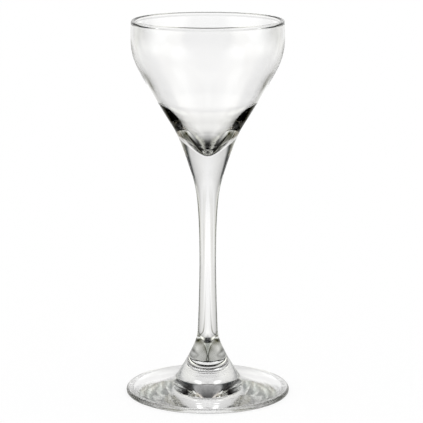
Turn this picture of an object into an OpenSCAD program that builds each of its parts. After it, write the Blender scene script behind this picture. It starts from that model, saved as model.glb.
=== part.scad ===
// A small stemmed cordial glass in clear glass, worked hot from three gathers: a blown bowl with a
// heavy pointed base, a drawn stem that swells into it, and a spun foot with a hollowed underside.
// Each gather is one solid. They meet at two domed seats, where the real glass is fused.
// The axis of the glass is Z, and the table is the plane Z = 0.

/* [Bowl] */
// Height of the bowl, from its joint with the stem up to the rim
bowl_h = 57; // [50:0.5:66]
// Diameter across the widest part of the bowl
bowl_d = 58.2; // [54:0.2:66]
// How far the widest part lies below the rim
belly_drop = 6.5; // [4:0.5:10]
// Height above the joint at which the flank slopes most
flank_h = 20; // [18:0.5:21]
// Diameter across the flank
flank_d = 31.2; // [28:0.2:36]

/* [Lip] */
// Diameter over the lip, which draws in a little
lip_d = 57.9; // [52:0.1:58]
// Thickness of the fire-polished lip
lip_t = 1.6; // [1:0.1:2]
// Thickness of the wall in the collar, just under the lip
collar_t = 1.15; // [0.8:0.05:1.6]
// How far the collar lies below the rim
collar_drop = 1.7; // [1.2:0.1:3]

/* [Hollow] */
// Height of the bottom of the hollow above the joint
hollow_rise = 6.4; // [5:0.1:8]
// Radius of the rounded tip of the hollow
hollow_tip_r = 2.35; // [1.5:0.05:3]
// Height of the pit above the joint, where the pointed bottom opens out
pit_h = 10.7; // [9.5:0.1:12]
// Diameter of the hollow at the pit
pit_d = 10.5; // [9:0.1:12]
// Height of the knuckle above the joint, where the thick base gives way to the wall
knuckle_h = 19; // [18:0.5:20]
// How far the hollow lies inside the flank at the knuckle, measured level
knuckle_in = 3.475; // [3:0.025:4]
// Height of the shoulder above the joint, where the wall becomes thin
shoulder_h = 27.1; // [26:0.1:29]
// How far the hollow has spread past the flank at the shoulder, measured level
shoulder_out = 2.65; // [2:0.05:2.9]
// Thickness of the wall at the widest part
belly_t = 1.1; // [0.8:0.1:1.8]

/* [Stem] */
// Height of the stem, from its joint with the foot to its joint with the bowl
stem_h = 78; // [60:1:100]
// Diameter at the joint with the bowl
neck_d = 13.6; // [12:0.2:16]
// Diameter at the slimmest part
waist_d = 6.4; // [5:0.1:8]
// Height of the slimmest part above the joint with the foot
waist_h = 41; // [30:1:48]
// Diameter at the knee, where the slim stem breaks into its flare
knee_d = 8.3; // [7.4:0.1:10]
// Height of the knee above the joint with the foot
knee_h = 12.5; // [9:0.5:16]
// Diameter at the joint with the foot
ankle_d = 20.1; // [18:0.1:21.6]

/* [Foot] */
// Diameter of the foot
foot_d = 63.4; // [56:0.2:72]
// Height of the foot, from the table to its joint with the stem
foot_h = 10; // [8.5:0.5:13]
// Thickness of the foot at its rounded edge
foot_edge_t = 2.1; // [1.4:0.1:2.6]
// Diameter at the spread, where the flat outer part of the top begins to rise
spread_d = 40; // [36:0.5:44]
// Height of the spread above the table
spread_h = 4.2; // [3.8:0.1:4.8]
// Diameter at the toe, where the rise turns into the flare of the stem
toe_d = 24.8; // [23.6:0.1:28]
// Height of the toe above the table
toe_h = 6.2; // [5.6:0.1:7]
// Width of the flat ring that rests on the table
ring_w = 2.2; // [1.4:0.1:5]
// Height of the hollow under the foot at the axis
punt_h = 0.5; // [0.2:0.1:2]

/* [Hidden] */
// How far each domed seat bulges down into the gather below it
bowl_seat_sag = 2.4;
stem_seat_sag = 2.2;
// How wide the rounded tip of the hollow opens, measured from the axis at the centre of its round
tip_angle = 32.5;

// Slope of the outline at each station, as radius gained for each unit of height
edge_slope_share = -7.6;
spread_slope_share = -5;
toe_slope_share = -0.75;
ankle_slope_share = -0.62;
knee_slope_share = -0.16;
neck_slope_share = 0.32;
flank_slope_share = 0.6;
lip_slope_share = -0.03;
pit_slope_share = 0.863;
knuckle_slope_share = 0.818;
shoulder_slope_share = 0.574;

// Reach of each station's handles, down and up, as shares of the height to the station there
edge_reach_shares = [0, 0.25];
spread_reach_shares = [0.301, 0.226];
toe_reach_shares = [0.17, 0.22];
ankle_reach_shares = [0.729, 0.58];
knee_reach_shares = [0.1, 0.12];
waist_reach_shares = [0.1, 0.74];
neck_reach_shares = [0.16, 0.75];
flank_reach_shares = [0.18, 0.62];
belly_reach_shares = [0.3, 0.4];
lip_reach_shares = [0.4, 0];
tip_reach_shares = [0, 0.35];
pit_reach_shares = [0.136, 0.252];
knuckle_reach_shares = [0.608, 0.571];
shoulder_reach_shares = [0.196, 0.504];
inner_belly_reach_shares = [0.366, 0.4];
collar_reach_shares = [0.3, 0.4];
inner_lip_reach_shares = [0.3, 0];

// Number of steps in each curve and in each round, and of facets where a round is drawn
curve_steps = 16;
round_steps = 8;
$fn = 96;

// Heights of the stations, from the table up
ankle_z = foot_h;
knee_z = ankle_z + knee_h;
waist_z = ankle_z + waist_h;
neck_z = ankle_z + stem_h;
tip_z = neck_z + hollow_rise;
pit_z = neck_z + pit_h;
knuckle_z = neck_z + knuckle_h;
flank_z = neck_z + flank_h;
shoulder_z = neck_z + shoulder_h;
rim_z = neck_z + bowl_h;
belly_z = rim_z - belly_drop;
collar_z = rim_z - collar_drop;
lip_z = rim_z - lip_t / 2;

// Radii of the rounded edge of the foot, and of the flat ring under it
foot_edge_r = foot_edge_t / 2;
ring_outer_r = foot_d / 2 - foot_edge_r;
ring_inner_r = ring_outer_r - ring_w;

// Stations of the outer surface, from the foot's edge up to the lip. Each holds its place as
// [radius, height], the slope there, and the reach of its handles down and up.
edge_station = [[ring_outer_r, foot_edge_t], edge_slope_share, edge_reach_shares];
spread_station = [[spread_d / 2, spread_h], spread_slope_share, spread_reach_shares];
toe_station = [[toe_d / 2, toe_h], toe_slope_share, toe_reach_shares];
ankle_station = [[ankle_d / 2, ankle_z], ankle_slope_share, ankle_reach_shares];
knee_station = [[knee_d / 2, knee_z], knee_slope_share, knee_reach_shares];
waist_station = [[waist_d / 2, waist_z], 0, waist_reach_shares];
neck_station = [[neck_d / 2, neck_z], neck_slope_share, neck_reach_shares];
flank_station = [[flank_d / 2, flank_z], flank_slope_share, flank_reach_shares];
belly_station = [[bowl_d / 2, belly_z], 0, belly_reach_shares];
lip_station = [[lip_d / 2, lip_z], lip_slope_share, lip_reach_shares];

// Stations of the hollow in the bowl, from its rounded tip up to the lip
tip_place = [hollow_tip_r * sin(tip_angle), tip_z + hollow_tip_r * (1 - cos(tip_angle))];
tip_station = [tip_place, 1 / tan(tip_angle), tip_reach_shares];
pit_station = [[pit_d / 2, pit_z], pit_slope_share, pit_reach_shares];
knuckle_station = [[flank_d / 2 - knuckle_in, knuckle_z], knuckle_slope_share, knuckle_reach_shares];
shoulder_station = [[flank_d / 2 + shoulder_out, shoulder_z], shoulder_slope_share, shoulder_reach_shares];
inner_belly_station = [[bowl_d / 2 - belly_t, belly_z], 0, inner_belly_reach_shares];
collar_station = [[lip_d / 2 - collar_t, collar_z], 0, collar_reach_shares];
inner_lip_station = [[lip_d / 2 - lip_t, lip_z], 0, inner_lip_reach_shares];

// A point on the cubic curve from p0 to p3 with the handle points p1 and p2
function cubic(p0, p1, p2, p3, t) =
    pow(1 - t, 3) * p0 + 3 * pow(1 - t, 2) * t * p1 + 3 * (1 - t) * t * t * p2 + pow(t, 3) * p3;

// The curve from one station up to the next
function curve(low, high) =
    let (rise = high[0][1] - low[0][1],
         p1 = low[0] + low[2][1] * rise * [low[1], 1],
         p2 = high[0] - high[2][0] * rise * [high[1], 1])
    [for (i = [0 : curve_steps]) cubic(low[0], p1, p2, high[0], i / curve_steps)];

// The curves through a list of stations, each of which lies on the next curve too
function curves(stations) =
    [for (i = [0 : len(stations) - 2]) each rest(curve(stations[i], stations[i + 1]))];

// A dome from the axis out to its edge, which bulges down by sag, or up where sag is below zero
function dome(edge_r, edge_z, sag) =
    let (ball_r = (edge_r * edge_r + sag * sag) / (2 * sag),
         reach = asin(edge_r / ball_r))
    [for (i = [0 : round_steps]) let (a = reach * i / round_steps)
        [i == 0 ? 0 : ball_r * sin(a), edge_z - sag + ball_r * (1 - cos(a))]];

// The round from the lower end of an edge over its outside to the upper end, or over its top
function round_edge(centre, r, from_angle) =
    [for (i = [0 : 2 * round_steps]) let (a = from_angle + 180 * i / (2 * round_steps))
        centre + r * [cos(a), sin(a)]];

// The same points in the other order, and without the first
function backwards(points) = [for (i = [len(points) - 1 : -1 : 0]) points[i]];
function rest(points) = [for (i = [1 : len(points) - 1]) points[i]];

function bowl_seat() = dome(neck_d / 2, neck_z, bowl_seat_sag);
function stem_seat() = dome(ankle_d / 2, ankle_z, stem_seat_sag);

// The blown bowl: thin at the rounded lip, and thickening to a solid base under a pointed hollow
module bowl() {
    outside = curves([neck_station, flank_station, belly_station, lip_station]);
    lip = round_edge([(lip_d - lip_t) / 2, lip_z], lip_t / 2, 0);
    hollow = concat(
        dome(tip_place[0], tip_place[1], tip_place[1] - tip_z),
        curves([tip_station, pit_station, knuckle_station, shoulder_station, inner_belly_station,
            collar_station, inner_lip_station]));
    color("lightcyan", 0.5)
    rotate_extrude()
    polygon(concat(bowl_seat(), outside, rest(lip), rest(backwards(hollow))));
}

// The drawn stem: a cup under the bowl, a long slim shank and a flare
module stem() {
    outside = curves([ankle_station, knee_station, waist_station, neck_station]);
    color("azure", 0.5)
    rotate_extrude()
    polygon(concat(stem_seat(), outside, rest(backwards(bowl_seat()))));
}

// The spun foot: a low cone with a rounded edge, resting on a ring round a shallow punt
module foot() {
    punt = dome(ring_inner_r, 0, -punt_h);
    edge = round_edge([ring_outer_r, foot_edge_r], foot_edge_r, -90);
    top = curves([edge_station, spread_station, toe_station, ankle_station]);
    color("lightblue", 0.5)
    rotate_extrude()
    polygon(concat(punt, edge, top, rest(backwards(stem_seat()))));
}

bowl();
stem();
foot();
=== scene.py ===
"""The looks of a small stemmed cordial glass: three gathers of clear glass on a pale studio floor.

Every size is in millimetres here, and turned to metres where a mesh is made. The axis of the glass
is Z, and the floor is the plane Z = 0.
"""

import logging
import math
from abc import ABC, abstractmethod
from dataclasses import dataclass, field
from enum import Enum

import bpy
from bpy.types import Material, Mesh, Node, NodeSocket, NodeTree, Object
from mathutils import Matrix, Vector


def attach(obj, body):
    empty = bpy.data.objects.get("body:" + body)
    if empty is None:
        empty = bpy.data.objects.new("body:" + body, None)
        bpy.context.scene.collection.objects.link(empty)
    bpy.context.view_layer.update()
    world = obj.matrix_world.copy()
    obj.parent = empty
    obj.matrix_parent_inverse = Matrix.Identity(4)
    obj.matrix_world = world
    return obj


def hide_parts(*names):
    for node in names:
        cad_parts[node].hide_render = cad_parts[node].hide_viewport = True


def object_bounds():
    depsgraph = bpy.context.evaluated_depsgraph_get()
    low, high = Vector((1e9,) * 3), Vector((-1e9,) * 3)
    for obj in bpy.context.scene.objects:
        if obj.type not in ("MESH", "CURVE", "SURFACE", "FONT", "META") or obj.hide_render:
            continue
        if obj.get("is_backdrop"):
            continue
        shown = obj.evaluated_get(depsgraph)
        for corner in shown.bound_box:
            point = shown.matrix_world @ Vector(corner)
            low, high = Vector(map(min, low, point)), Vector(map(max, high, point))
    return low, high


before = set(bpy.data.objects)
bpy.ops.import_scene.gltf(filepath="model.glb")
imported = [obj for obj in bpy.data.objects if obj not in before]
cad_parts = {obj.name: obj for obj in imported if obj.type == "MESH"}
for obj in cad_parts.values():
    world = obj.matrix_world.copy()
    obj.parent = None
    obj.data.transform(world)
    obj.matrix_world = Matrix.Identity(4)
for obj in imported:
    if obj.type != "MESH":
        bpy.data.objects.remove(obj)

LOG = logging.getLogger("cordial_glass")
MILLIMETRE = 0.001
# Points nearer to the axis, or to each other, than these are taken to be on it, or the same.
ON_AXIS = 1e-6
TOUCHING = 1e-7
# Lies between no bounce and one, to tell them apart in the depths that Light Path counts.
ANY_BOUNCE = 0.5


class Face(Enum):
    """What a stretch of a gather's skin is, and so which of its material slots it takes."""

    POLISHED = 0
    FUSED = 1
    WORN = 2


@dataclass(frozen=True)
class Point:
    """A point on an outline, with the direction in which the outline passes it."""

    radius: float
    height: float
    along_radius: float
    along_height: float

    @property
    def on_axis(self) -> bool:
        """Returns whether the point lies on the axis."""
        return self.radius < ON_AXIS

    def normal(self, turn: float) -> tuple[float, float, float]:
        """Works out the outward normal of the turned skin.

        Args:
            turn: the angle round the axis, in radians.

        Returns:
            The normal, which is straight up or down on the axis.
        """
        length = math.hypot(self.along_radius, self.along_height)
        out, up = self.along_height / length, -self.along_radius / length
        if self.on_axis:
            out, up = 0.0, math.copysign(1, up)
        return out * math.cos(turn), out * math.sin(turn), up


@dataclass(frozen=True)
class Station:
    """A place that a curve of the outline passes through.

    Slope is radius gained for each millimetre of height. The reaches are shares of the height to
    the next station down and up. Steps up is how many straight pieces the curve up from here has.
    """

    radius: float
    height: float
    slope: float
    reach_down: float
    reach_up: float
    steps_up: int = 28


@dataclass(frozen=True)
class Stretch:
    """A run of points on the skin of a gather that is all of one kind."""

    points: list[Point]
    face: Face = Face.POLISHED

    def backwards(self) -> "Stretch":
        """Returns the same run passed the other way."""
        turned = [
            Point(p.radius, p.height, -p.along_radius, -p.along_height)
            for p in reversed(self.points)
        ]
        return Stretch(turned, self.face)

    def ringed(
        self, depth: float, inner: float, outer: float, counts: tuple[int, ...]
    ) -> "Stretch":
        """Raises faint rings about the axis, as a spinning tool leaves them in soft glass.

        Args:
            depth: how far each set of rings rises and falls.
            inner: radius at which the rings begin.
            outer: radius at which they end.
            counts: number of rings in each set, whole so that every set starts and ends level.

        Returns:
            The same run with the rings.
        """
        ringed = []
        for p in self.points:
            lift, climb = 0.0, 0.0
            for count in counts:
                pace = 2 * math.pi * count / (outer - inner)
                lift += depth * math.sin(pace * (p.radius - inner))
                climb += depth * pace * math.cos(pace * (p.radius - inner))
            along_height = p.along_height + climb * p.along_radius
            ringed.append(Point(p.radius, p.height + lift, p.along_radius, along_height))
        return Stretch(ringed, self.face)


def curve(low: Station, high: Station) -> Stretch:
    """Draws the curve from one station up to the next.

    Args:
        low: the lower station.
        high: the upper station.

    Returns:
        The run of points, from low to high.
    """
    rise = high.height - low.height
    reach_low, reach_high = low.reach_up * rise, high.reach_down * rise
    handles = [
        (low.radius, low.height),
        (low.radius + reach_low * low.slope, low.height + reach_low),
        (high.radius - reach_high * high.slope, high.height - reach_high),
        (high.radius, high.height),
    ]
    points = []
    for i in range(low.steps_up + 1):
        t = i / low.steps_up
        u = 1 - t
        place = [
            u**3 * a + 3 * u * u * t * b + 3 * u * t * t * c + t**3 * d
            for a, b, c, d in zip(*handles)
        ]
        legs = [(b - a, c - b, d - c) for a, b, c, d in zip(*handles)]
        along = [u * u * p + 2 * u * t * q + t * t * r for p, q, r in legs]
        points.append(Point(*place, *along))
    return Stretch(points)


def dome(
    edge_radius: float,
    edge_height: float,
    sag: float,
    face: Face = Face.POLISHED,
    steps: int = 12,
) -> Stretch:
    """Draws a dome from the axis out to its edge.

    Args:
        edge_radius: radius of the edge.
        edge_height: height of the edge.
        sag: how far the dome bulges down, or up where it is below zero.
        face: the kind of skin.
        steps: how many straight pieces the dome is drawn with.

    Returns:
        The run of points, from the axis to the edge.
    """
    ball = (edge_radius**2 + sag**2) / (2 * sag)
    reach = math.asin(edge_radius / ball)
    points = []
    for i in range(steps + 1):
        a = reach * i / steps
        radius = ball * math.sin(a) if i else 0.0
        height = edge_height - sag + ball * (1 - math.cos(a))
        points.append(Point(radius, height, math.cos(a), math.sin(a)))
    return Stretch(points, face)


def round_edge(
    radius: float, height: float, size: float, start: float, steps: int = 20
) -> Stretch:
    """Draws half a round over an edge.

    Args:
        radius: radius of the round's centre from the axis.
        height: height of the round's centre.
        size: radius of the round itself.
        start: angle in degrees at which it starts, measured from straight out.
        steps: how many straight pieces the round is drawn with.

    Returns:
        The run of points.
    """
    points = []
    for i in range(steps + 1):
        a = math.radians(start + 180 * i / steps)
        out, up = math.cos(a), math.sin(a)
        points.append(Point(radius + size * out, height + size * up, -up, out))
    return Stretch(points)


@dataclass
class Turning:
    """A mesh in the making: a skin turned about the axis in steps, with its true normals."""

    around: int = 192
    places: list[tuple[float, float, float]] = field(default_factory=list)
    faces: list[tuple[int, ...]] = field(default_factory=list)
    kinds: list[int] = field(default_factory=list)
    normals: list[tuple[float, float, float]] = field(default_factory=list)
    last: Point | None = None
    last_ring: list[int] = field(default_factory=list)

    def angle(self, step: int) -> float:
        """Returns the angle round the axis at a step, in radians."""
        return 2 * math.pi * step / self.around

    def ring(self, point: Point) -> list[int]:
        """Makes the vertices round the axis at a point of the outline, or finds those made last.

        Args:
            point: the point.

        Returns:
            A vertex for each step, the same one for all of them on the axis.
        """
        last = self.last
        if (
            last
            and abs(last.radius - point.radius) < TOUCHING
            and abs(last.height - point.height) < TOUCHING
        ):
            return self.last_ring
        start = len(self.places)
        height = point.height * MILLIMETRE
        if point.on_axis:
            self.places.append((0.0, 0.0, height))
            ring = [start] * self.around
        else:
            for step in range(self.around):
                a = self.angle(step)
                along_x, along_y = point.radius * math.cos(a), point.radius * math.sin(a)
                self.places.append((along_x * MILLIMETRE, along_y * MILLIMETRE, height))
            ring = list(range(start, start + self.around))
        self.last, self.last_ring = point, ring
        return ring

    def band(self, low: Point, high: Point, face: Face) -> None:
        """Adds the faces between two neighbouring points of the outline.

        Args:
            low: the point that the outline passes first.
            high: the next one.
            face: the kind of skin.
        """
        low_ring, high_ring = self.ring(low), self.ring(high)
        for step in range(self.around):
            after = (step + 1) % self.around
            corners = [
                (low_ring[step], step, low),
                (low_ring[after], step + 1, low),
                (high_ring[after], step + 1, high),
                (high_ring[step], step, high),
            ]
            if low.on_axis:
                corners.pop(1)
            if high.on_axis:
                corners.pop()
            self.faces.append(tuple(vertex for vertex, _, _ in corners))
            self.kinds.append(face.value)
            self.normals += [point.normal(self.angle(turn)) for _, turn, point in corners]

    def mesh(self, name: str, skin: list[Stretch]) -> Mesh:
        """Turns a closed skin.

        Args:
            name: name of the mesh.
            skin: the runs of the outline, anticlockwise from the axis back to the axis.

        Returns:
            The mesh, whose faces carry the number of their kind of skin as material index.
        """
        for stretch in skin:
            for low, high in zip(stretch.points, stretch.points[1:]):
                self.band(low, high, stretch.face)
        mesh = bpy.data.meshes.new(name)
        mesh.from_pydata(self.places, [], self.faces)
        mesh.polygons.foreach_set("material_index", self.kinds)
        mesh.polygons.foreach_set("use_smooth", [True] * len(self.faces))
        mesh.normals_split_custom_set(self.normals)
        mesh.update()
        return mesh


def linear(code: str) -> tuple[float, float, float, float]:
    """Turns an sRGB hex colour to the linear colour that a shader takes.

    Args:
        code: the colour, such as "#ffffff".

    Returns:
        Red, green, blue and a full alpha.
    """
    levels = [int(code[i : i + 2], 16) / 255 for i in (1, 3, 5)]
    red, green, blue = [
        level / 12.92 if level <= 0.04045 else ((level + 0.055) / 1.055) ** 2.4
        for level in levels
    ]
    return red, green, blue, 1.0


def add_node(
    tree: NodeTree, kind: str, settings: dict | None = None, inputs: dict | None = None
) -> Node:
    """Adds a node.

    Args:
        tree: the node tree.
        kind: Blender's name for the node.
        settings: values by the name of a property of the node.
        inputs: for each input, by name or number, its value or the output socket that feeds it.

    Returns:
        The node.
    """
    node = tree.nodes.new(kind)
    for name, value in (settings or {}).items():
        setattr(node, name, value)
    for name, value in (inputs or {}).items():
        if isinstance(value, NodeSocket):
            tree.links.new(value, node.inputs[name])
        else:
            node.inputs[name].default_value = value
    return node


@dataclass(frozen=True)
class Finish(ABC):
    """What a surface is made of and how it was made."""

    name: str

    @abstractmethod
    def surface(self, tree: NodeTree) -> NodeSocket:
        """Adds the surface's nodes to a material's tree, and returns the socket of its shader."""

    def material(self) -> Material:
        """Builds the material."""
        made = bpy.data.materials.new(self.name)
        made.use_nodes = True
        tree = made.node_tree
        tree.nodes.clear()
        add_node(tree, "ShaderNodeOutputMaterial", inputs={"Surface": self.surface(tree)})
        return made


@dataclass(frozen=True)
class FirePolishedGlass(Finish):
    """Clear soda-lime glass, worked hot and fire-polished.

    The flame leaves the skin mirror smooth, so the eye gets no blur from it: what it sees is the
    card and the room, bent and reflected. The melt is clear enough to take no colour of its own at
    this size.
    """

    name: str = "soda_lime_glass_fire_polished"
    tint: str = "#ffffff"
    ior: float = 1.5

    def roughness(self, tree: NodeTree) -> float | NodeSocket:
        """Returns how rough the skin is, which is not at all where it was fire-polished."""
        return 0.0

    def surface(self, tree: NodeTree) -> NodeSocket:
        """Adds the surface's nodes to a material's tree, and returns the socket of its shader."""
        shader = add_node(
            tree,
            "ShaderNodeBsdfPrincipled",
            inputs={
                "Base Color": linear(self.tint),
                "Roughness": self.roughness(tree),
                "IOR": self.ior,
                "Transmission Weight": 1.0,
            },
        )
        return shader.outputs["BSDF"]


@dataclass(frozen=True)
class ScratchedGlass(FirePolishedGlass):
    """The same glass on the ring that the foot rests on, scratched by the tables it stood on.

    The scratches are finer than hairs, and they scatter light, so the eye gets a thin dull line
    round the foot in place of a mirror. Some places are worn more than others, in spots of about
    the spot size. The wear goes from the first roughness to the second as the noise goes from the
    first of its usual levels to the second.
    """

    name: str = "soda_lime_glass_scratched"
    spot_size: float = 1.5
    usual_levels: tuple[float, float] = (0.3, 0.7)
    wear: tuple[float, float] = (0.12, 0.45)

    def roughness(self, tree: NodeTree) -> float | NodeSocket:
        """Adds the spots of wear to a material's tree, and returns the socket of the roughness."""
        place = add_node(tree, "ShaderNodeTexCoord").outputs["Object"]
        scale = 1 / (self.spot_size * MILLIMETRE)
        spots = add_node(tree, "ShaderNodeTexNoise", inputs={"Vector": place, "Scale": scale})
        low_level, high_level = self.usual_levels
        least, most = self.wear
        return add_node(
            tree,
            "ShaderNodeMapRange",
            inputs={
                "Value": spots.outputs[0],
                "From Min": low_level,
                "From Max": high_level,
                "To Min": least,
                "To Max": most,
            },
        ).outputs[0]


@dataclass(frozen=True)
class FusedSeam(Finish):
    """The seat where two gathers were fused hot.

    Glass runs through it unbroken, so it gives the eye nothing.
    """

    name: str = "fused_seam"

    def surface(self, tree: NodeTree) -> NodeSocket:
        """Adds the surface's nodes to a material's tree, and returns the socket of its shader."""
        return add_node(tree, "ShaderNodeBsdfTransparent").outputs["BSDF"]


@dataclass(frozen=True)
class MattPaper(Finish):
    """Matt white paper, uncoated.

    It scatters light alike to all sides, so the eye gets no highlight from it, and only the faint
    shadow of the glass. The even share of what the camera sees is plain white, which keeps the
    floor pale and that shadow faint with no more light on the glass.
    """

    name: str = "matt_paper"
    colour: str = "#ffffff"
    even_share: float = 0.8

    def surface(self, tree: NodeTree) -> NodeSocket:
        """Adds the surface's nodes to a material's tree, and returns the socket of its shader."""
        path = add_node(tree, "ShaderNodeLightPath")
        share = add_node(
            tree,
            "ShaderNodeMath",
            {"operation": "MULTIPLY"},
            {0: path.outputs["Is Camera Ray"], 1: self.even_share},
        ).outputs[0]
        colour = linear(self.colour)
        matt = add_node(tree, "ShaderNodeBsdfDiffuse", inputs={"Color": colour}).outputs[0]
        even = add_node(tree, "ShaderNodeEmission", inputs={"Color": colour}).outputs[0]
        return add_node(tree, "ShaderNodeMixShader", inputs={0: share, 1: matt, 2: even}).outputs[0]


@dataclass
class Gather(ABC):
    """One gather of glass, turned about the axis."""

    name: str
    node: str
    slot: str

    @abstractmethod
    def skin(self) -> list[Stretch]:
        """Returns the closed outline, anticlockwise from the axis."""

    def build(self, finishes: dict[Face, Material]) -> Object:
        """Makes the piece, dresses it and puts it in the place of its solid.

        Args:
            finishes: the material of each kind of skin.

        Returns:
            The piece.
        """
        skin = self.skin()
        mesh = Turning().mesh(self.name, skin)
        # Only the foot has the last kind, so the numbers of the kinds fit every gather's slots.
        for face in Face:
            if any(stretch.face is face for stretch in skin):
                mesh.materials.append(finishes[face])
        piece = bpy.data.objects.new(self.name, mesh)
        bpy.context.scene.collection.objects.link(piece)
        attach(piece, "root")
        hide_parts(self.node)
        LOG.info("%s: %d faces in place of %s", self.name, len(mesh.polygons), self.node)
        return piece


@dataclass
class Joints:
    """The two fused joints: the station that two gathers share there, and the sag of the seat."""

    neck: Station = Station(6.8, 88, 0.32, 0.16, 0.75)
    neck_sag: float = 2.4
    ankle: Station = Station(10.05, 10, -0.62, 0.729, 0.58)
    ankle_sag: float = 2.2

    def bowl_seat(self) -> Stretch:
        """Returns the seat of the bowl on the stem, from the axis outwards."""
        return dome(self.neck.radius, self.neck.height, self.neck_sag, Face.FUSED)

    def stem_seat(self) -> Stretch:
        """Returns the seat of the stem on the foot, from the axis outwards."""
        return dome(self.ankle.radius, self.ankle.height, self.ankle_sag, Face.FUSED)


@dataclass
class Bowl(Gather):
    """The blown bowl: thin at the lip, and thickening to a solid base under a pointed hollow."""

    name: str = "bowl_blown"
    node: str = "bowl"
    slot: str = "bowl_glass"
    joints: Joints = field(default_factory=Joints)
    flank: Station = Station(15.6, 108, 0.6, 0.18, 0.62)
    belly: Station = Station(29.1, 138.5, 0, 0.3, 0.4, steps_up=10)
    lip: Station = Station(28.95, 144.2, -0.03, 0.4, 0)
    lip_thickness: float = 1.6
    tip_height: float = 94.4
    tip_radius: float = 2.35
    tip_angle: float = 32.5
    tip_reach: float = 0.35
    tip_steps: int = 12
    pit: Station = Station(5.25, 98.7, 0.863, 0.136, 0.252)
    knuckle: Station = Station(12.125, 107, 0.818, 0.608, 0.571)
    shoulder: Station = Station(18.25, 115.1, 0.574, 0.196, 0.504)
    inner_belly: Station = Station(28, 138.5, 0, 0.366, 0.4, steps_up=10)
    collar: Station = Station(27.8, 143.3, 0, 0.3, 0.4, steps_up=12)
    inner_lip_reach: float = 0.3

    def skin(self) -> list[Stretch]:
        """Returns the closed outline, anticlockwise from the axis."""
        half_lip = self.lip_thickness / 2
        lip_middle = self.lip.radius - half_lip
        inner_radius = self.lip.radius - self.lip_thickness
        inner_lip = Station(inner_radius, self.lip.height, 0, self.inner_lip_reach, 0)
        angle = math.radians(self.tip_angle)
        tip_radius = self.tip_radius * math.sin(angle)
        tip_rise = self.tip_radius * (1 - math.cos(angle))
        tip_edge = self.tip_height + tip_rise
        tip = Station(tip_radius, tip_edge, 1 / math.tan(angle), 0, self.tip_reach, self.tip_steps)
        return [
            self.joints.bowl_seat(),
            curve(self.joints.neck, self.flank),
            curve(self.flank, self.belly),
            curve(self.belly, self.lip),
            round_edge(lip_middle, self.lip.height, half_lip, 0),
            curve(self.collar, inner_lip).backwards(),
            curve(self.inner_belly, self.collar).backwards(),
            curve(self.shoulder, self.inner_belly).backwards(),
            curve(self.knuckle, self.shoulder).backwards(),
            curve(self.pit, self.knuckle).backwards(),
            curve(tip, self.pit).backwards(),
            dome(tip_radius, tip_edge, tip_rise).backwards(),
        ]


@dataclass
class Stem(Gather):
    """The drawn stem: a cup under the bowl, a long slim shank and a flare."""

    name: str = "stem_drawn"
    node: str = "stem"
    slot: str = "stem_glass"
    joints: Joints = field(default_factory=Joints)
    knee: Station = Station(4.15, 22.5, -0.16, 0.1, 0.12)
    waist: Station = Station(3.2, 51, 0, 0.1, 0.74)

    def skin(self) -> list[Stretch]:
        """Returns the closed outline, anticlockwise from the axis."""
        return [
            self.joints.stem_seat(),
            curve(self.joints.ankle, self.knee),
            curve(self.knee, self.waist),
            curve(self.waist, self.joints.neck),
            self.joints.bowl_seat().backwards(),
        ]


@dataclass
class Foot(Gather):
    """The spun foot: a low cone with a rounded edge, resting on a ring round a shallow hollow.

    The tool that opened it out while it spun left rings in its top, from the toe to the edge. They
    are far too shallow to be felt, but they ripple the light that is reflected inside the foot.
    """

    name: str = "foot_spun"
    node: str = "foot"
    slot: str = "foot_glass"
    joints: Joints = field(default_factory=Joints)
    radius: float = 31.7
    edge_thickness: float = 2.1
    edge_slope: float = -7.6
    edge_reach: float = 0.25
    edge_steps: int = 96
    spread: Station = Station(20, 4.2, -5, 0.301, 0.226, steps_up=68)
    toe: Station = Station(12.4, 6.2, -0.75, 0.17, 0.22, steps_up=12)
    spin_depth: float = 0.002
    spin_counts: tuple[int, ...] = (14, 23)
    ring_width: float = 2.2
    punt_height: float = 0.5

    def skin(self) -> list[Stretch]:
        """Returns the closed outline, anticlockwise from the axis."""
        half_edge = self.edge_thickness / 2
        outer = self.radius - half_edge
        inner = outer - self.ring_width
        edge = Station(
            outer, self.edge_thickness, self.edge_slope, 0, self.edge_reach, self.edge_steps
        )
        spinning = (self.spin_depth, self.toe.radius, outer, self.spin_counts)
        return [
            dome(inner, 0, -self.punt_height),
            Stretch([Point(inner, 0, 1, 0), Point(outer, 0, 1, 0)], Face.WORN),
            round_edge(outer, half_edge, half_edge, -90),
            curve(edge, self.spread).ringed(*spinning),
            curve(self.spread, self.toe).ringed(*spinning),
            curve(self.toe, self.joints.ankle),
            self.joints.stem_seat().backwards(),
        ]


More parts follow.
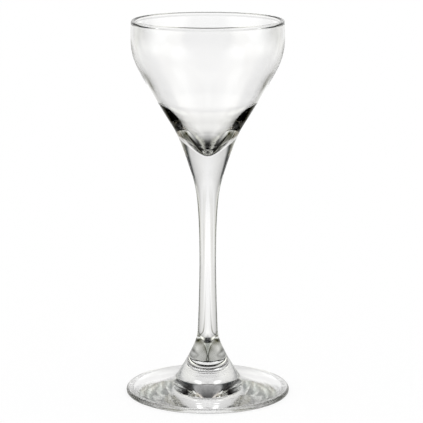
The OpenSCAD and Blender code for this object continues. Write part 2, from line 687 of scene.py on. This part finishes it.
@dataclass(frozen=True)
class Patch:
    """A soft-edged patch of the surroundings, which gives light, or takes it if below zero.

    All but colour and level are angles in degrees, as seen from the glass. The first of each pair
    goes round, from straight behind the glass and alike to both sides, and the second goes up from
    the horizon. Half is half the size, fade is half the width of the soft edge, and lean is how far
    the patch leans outwards for each degree up. The level is in linear light, where 1 is white.
    """

    colour: str
    level: float
    middle: tuple[float, float]
    half: tuple[float, float]
    fade: tuple[float, float]
    lean: float = 0

    def glow(self, tree: NodeTree, turn: NodeSocket, lift: NodeSocket) -> NodeSocket:
        """Draws the patch.

        Args:
            tree: the world's node tree.
            turn: the angle round from straight behind the glass, in degrees.
            lift: the angle up from the horizon, in degrees.

        Returns:
            The socket that gives its light.
        """
        middle_turn, middle_lift = self.middle
        up = add_node(
            tree, "ShaderNodeMath", {"operation": "SUBTRACT"}, {0: lift, 1: middle_lift}
        ).outputs[0]
        upright = add_node(
            tree, "ShaderNodeMath", {"operation": "MULTIPLY_ADD"}, {0: up, 1: -self.lean, 2: turn}
        ).outputs[0]
        across = add_node(
            tree, "ShaderNodeMath", {"operation": "SUBTRACT"}, {0: upright, 1: middle_turn}
        ).outputs[0]
        shares = []
        for angle, half, fade in zip((across, up), self.half, self.fade):
            away = add_node(
                tree, "ShaderNodeMath", {"operation": "ABSOLUTE"}, {0: angle}
            ).outputs[0]
            share = add_node(
                tree,
                "ShaderNodeMapRange",
                {"interpolation_type": "SMOOTHSTEP"},
                {
                    "Value": away,
                    "From Min": half - fade,
                    "From Max": half + fade,
                    "To Min": 1.0,
                    "To Max": 0.0,
                },
            )
            shares.append(share.outputs["Result"])
        share = add_node(
            tree, "ShaderNodeMath", {"operation": "MULTIPLY"}, dict(enumerate(shares))
        ).outputs[0]
        full = [self.level * part for part in linear(self.colour)[:3]]
        return add_node(
            tree, "ShaderNodeVectorMath", {"operation": "SCALE"}, {0: full, "Scale": share}
        ).outputs[0]


@dataclass(frozen=True)
class Studio:
    """A pale floor, and round it the light in which the glass was shown.

    The real glass stood on a clear shelf before a lit card, in a dim room. So what it bends and
    reflects is the card and the room, and not the floor, and that is what draws the black arcs in
    the heavy base of the bowl and the rings and spots in the foot.

    What is seen straight through glass, with no reflection on its way, is never darker than the
    backdrop, a pale wall all round but for the card's own side, nor than what lies under the glass
    where the light has crossed no more surfaces than the thin crossings allow. So the glass is as
    clear from every other side as glass on a pale floor is.
    """

    floor_finish: MattPaper = MattPaper()
    floor_reach: float = 6000
    backdrop: Patch = Patch("#f6f7f6", 0.95, (130, -20), (55, 60), (12, 14))
    under: Patch = Patch("#f6f7f6", 0.95, (90, -90), (120, 40), (5, 6))
    thin_crossings: float = 2.5
    surroundings: tuple[Patch, ...] = (
        # Straight behind the glass: the lit card, and the shade about it
        Patch("#ffffff", 1.0, (5.2, 7.7), (54.1, 33), (34.2, 25.8), 0.44),
        Patch("#fffefc", 0.25, (1.6, -23.4), (43.4, 15.5), (3.3, 5.1), 0.19),
        Patch("#fffffa", 0.21, (8.6, -29.1), (6.7, 10.5), (3.3, 3.4), -1.08),
        Patch("#f6f7ff", -0.49, (19.5, -10.9), (7.2, 2.8), (3, 14.4), -0.99),
        Patch("#fafaff", -0.65, (29.3, -26.2), (2.5, 9.4), (3.1, 3.2), -1.71),
        # Above the card
        Patch("#fcfffc", 2.08, (10.5, 30.6), (2.5, 6.4), (3, 3.7), -0.03),
        Patch("#fcfffe", -1.61, (-1.1, 31.8), (3.2, 6.6), (8.7, 7.4), 1.31),
        # To the sides
        Patch("#fefffe", 0.84, (105.8, -9.7), (43.3, 12.4), (12.4, 12.1), -0.66),
        Patch("#fefff9", 0.62, (65.4, 5), (17.9, 16), (10.7, 3), 0.99),
        Patch("#fdfff9", 0.57, (49.9, -13.7), (5.4, 10.8), (5.4, 11.4), -0.23),
        Patch("#fefffa", 0.52, (111.4, -1.8), (31.5, 79.6), (11.1, 3.1), -0.37),
        Patch("#f2f8ff", -0.48, (105.6, 18.8), (24, 28.4), (3.9, 3.6), -1.54),
        Patch("#fffdfc", -0.64, (56, 25), (19.1, 17.3), (11.2, 3), -1.05),
        Patch("#fbfcff", -0.78, (104.3, -28.1), (23.1, 40.4), (39.4, 37.8), -1.62),
        Patch("#fefffd", -0.99, (68.8, -1.1), (14.1, 9.6), (24.6, 3), 1.73),
        # Overhead
        Patch("#fff6ed", 0.75, (66.7, 53.4), (27.2, 11), (3.1, 3), -0.65),
        # Below
        Patch("#ffffff", 0.3, (132, -50), (26, 12), (8, 6)),
        Patch("#fefff4", 1.36, (32.1, -49.6), (14.2, 10.8), (9.7, 3.5), -0.36),
        Patch("#fefffc", 0.75, (90.3, -58.8), (6.1, 7.4), (6.2, 3), -0.73),
        Patch("#fcfffb", 0.63, (178.7, -67), (12.6, 14.1), (3, 3), -0.97),
    )
    # The rings and spots in the foot are light that was reflected up to eight times inside it.
    bounces: int = 16
    glossy_bounces: int = 12

    def floor(self) -> Object:
        """Lays the floor, which the eye sees and the glass does not."""
        reach = self.floor_reach * MILLIMETRE
        places = [(-reach, -reach, 0), (reach, -reach, 0), (reach, reach, 0), (-reach, reach, 0)]
        mesh = bpy.data.meshes.new("floor")
        mesh.from_pydata(places, [], [tuple(range(len(places)))])
        mesh.materials.append(self.floor_finish.material())
        floor = bpy.data.objects.new("floor", mesh)
        bpy.context.scene.collection.objects.link(floor)
        floor.visible_transmission = False
        floor.visible_glossy = False
        floor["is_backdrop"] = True
        return floor

    def room(self) -> None:
        """Builds the world: the card and the room as eye and glass see them.

        What is matt gets even white light from all round.
        """
        scene = bpy.context.scene
        scene.cycles.max_bounces = self.bounces
        scene.cycles.transmission_bounces = self.bounces
        scene.cycles.glossy_bounces = self.glossy_bounces
        world = bpy.data.worlds.new("studio")
        scene.world = world
        world.use_nodes = True
        # What a path sees here depends on its bounces, which a map of the world can't know.
        world.cycles.sampling_method = "NONE"
        tree = world.node_tree
        tree.nodes.clear()
        path = add_node(tree, "ShaderNodeLightPath").outputs
        matt = add_node(
            tree,
            "ShaderNodeMath",
            {"operation": "GREATER_THAN"},
            {0: path["Diffuse Depth"], 1: ANY_BOUNCE},
        ).outputs[0]
        # A Mix node has several inputs of each name, so its colours A and B go by number.
        light = add_node(
            tree,
            "ShaderNodeMix",
            {"data_type": "RGBA"},
            {"Factor": matt, 6: self.seen(tree), 7: linear("#ffffff")},
        ).outputs[2]
        sky = add_node(tree, "ShaderNodeBackground", inputs={"Color": light}).outputs[0]
        add_node(tree, "ShaderNodeOutputWorld", inputs={"Surface": sky})

    def seen(self, tree: NodeTree) -> NodeSocket:
        """Draws what is seen in each direction.

        Args:
            tree: the world's node tree.

        Returns:
            The socket that gives its light.
        """
        place = add_node(tree, "ShaderNodeTexCoord").outputs["Generated"]
        axes = add_node(tree, "ShaderNodeSeparateXYZ", inputs={0: place}).outputs
        side = add_node(
            tree, "ShaderNodeMath", {"operation": "ABSOLUTE"}, {0: axes["X"]}
        ).outputs[0]
        turn = add_node(
            tree, "ShaderNodeMath", {"operation": "ARCTAN2"}, {0: side, 1: axes["Y"]}
        ).outputs[0]
        lift = add_node(
            tree, "ShaderNodeMath", {"operation": "ARCSINE"}, {0: axes["Z"]}
        ).outputs[0]
        turn, lift = [
            add_node(tree, "ShaderNodeMath", {"operation": "DEGREES"}, {0: angle}).outputs[0]
            for angle in (turn, lift)
        ]
        seen = self.surroundings[0].glow(tree, turn, lift)
        for patch in self.surroundings[1:]:
            glow = patch.glow(tree, turn, lift)
            seen = add_node(
                tree, "ShaderNodeVectorMath", {"operation": "ADD"}, {0: seen, 1: glow}
            ).outputs[0]

        path = add_node(tree, "ShaderNodeLightPath").outputs
        straight, thin = [
            add_node(
                tree, "ShaderNodeMath", {"operation": "LESS_THAN"}, {0: path[depth], 1: limit}
            ).outputs[0]
            for depth, limit in (
                ("Glossy Depth", ANY_BOUNCE),
                ("Transmission Depth", self.thin_crossings),
            )
        ]
        straight_and_thin = add_node(
            tree, "ShaderNodeMath", {"operation": "MULTIPLY"}, {0: straight, 1: thin}
        ).outputs[0]
        for patch, share in ((self.backdrop, straight), (self.under, straight_and_thin)):
            glow = patch.glow(tree, turn, lift)
            glow = add_node(
                tree, "ShaderNodeVectorMath", {"operation": "SCALE"}, {0: glow, "Scale": share}
            ).outputs[0]
            seen = add_node(
                tree, "ShaderNodeVectorMath", {"operation": "MAXIMUM"}, {0: seen, 1: glow}
            ).outputs[0]
        return seen


@dataclass(frozen=True)
class View:
    """The camera of the photograph, on the side of -Y, looking a little down.

    The dip is in radians, and the shift is a share of the sensor.
    """

    distance: float = 751.17
    height: float = 224.67
    dip: float = 0.2014
    lens: float = 170.17
    sensor: float = 36
    shift: float = 0.0089
    near: float = 10
    far: float = 50000

    def place(self) -> Object:
        """Places the camera and makes it the scene's own."""
        data = bpy.data.cameras.new("camera")
        data.lens = self.lens
        data.sensor_width = self.sensor
        data.shift_x = self.shift
        data.clip_start = self.near * MILLIMETRE
        data.clip_end = self.far * MILLIMETRE
        camera = bpy.data.objects.new("camera", data)
        camera.location = (0, -self.distance * MILLIMETRE, self.height * MILLIMETRE)
        camera.rotation_euler = (math.pi / 2 - self.dip, 0, 0)
        bpy.context.scene.collection.objects.link(camera)
        bpy.context.scene.camera = camera
        return camera


def corners() -> list[list[float]]:
    """Returns the box of the shown object as plain lists."""
    return [list(corner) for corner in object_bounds()]


def main() -> None:
    """Builds the glass and its studio."""
    logging.basicConfig(level=logging.INFO, format="%(name)s: %(message)s")
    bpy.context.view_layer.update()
    View().place()
    finishes = {
        Face.POLISHED: FirePolishedGlass().material(),
        Face.FUSED: FusedSeam().material(),
        Face.WORN: ScratchedGlass().material(),
    }
    for gather in (Bowl(), Stem(), Foot()):
        gather.build(finishes)
    studio = Studio()
    studio.floor()
    studio.room()
    bpy.context.scene.view_settings.view_transform = "Standard"


if __name__ == "__main__":
    main()
